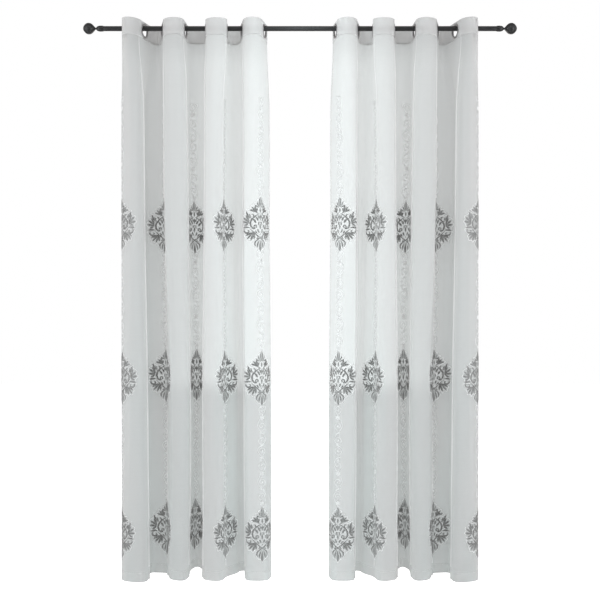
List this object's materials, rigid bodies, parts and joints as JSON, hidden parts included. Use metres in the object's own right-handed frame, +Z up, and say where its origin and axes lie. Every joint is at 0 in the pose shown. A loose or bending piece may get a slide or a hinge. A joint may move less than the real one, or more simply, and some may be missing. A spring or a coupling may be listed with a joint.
{
  "type": "pair of sheer eyelet curtain panels on a curtain rod",
  "caption": "Sheer embroidered eyelet curtain panels hanging in soft folds from a plain dark round rod with ball finials, for dressing a window.",
  "frame": {"origin": "on the rod's axis at mid length, where the wall's brackets carry it", "axes": "+X along the rod to the right as seen from the room, +Y back towards the wall, +Z up"},
  "size_m": [1.674, 0.1906, 2.14],
  "materials": {
    "sheer_cloth": "sheer off-white plain-weave voile with grey and white thread embroidery",
    "eyelet": "satin nickel",
    "rod": "satin black",
    "finial": "satin black"
  },
  "bodies": {
    "root": {"rod": "rod", "finial_left": "finial", "finial_right": "finial", "curtain_left": "sheer_cloth", "curtain_right": "sheer_cloth", "eyelet_left_1": "eyelet", "eyelet_left_2": "eyelet", "eyelet_left_3": "eyelet", "eyelet_left_4": "eyelet", "eyelet_left_5": "eyelet", "eyelet_left_6": "eyelet", "eyelet_left_7": "eyelet", "eyelet_left_8": "eyelet", "eyelet_right_1": "eyelet", "eyelet_right_2": "eyelet", "eyelet_right_3": "eyelet", "eyelet_right_4": "eyelet", "eyelet_right_5": "eyelet", "eyelet_right_6": "eyelet", "eyelet_right_7": "eyelet", "eyelet_right_8": "eyelet"}
  },
  "joints": []
}
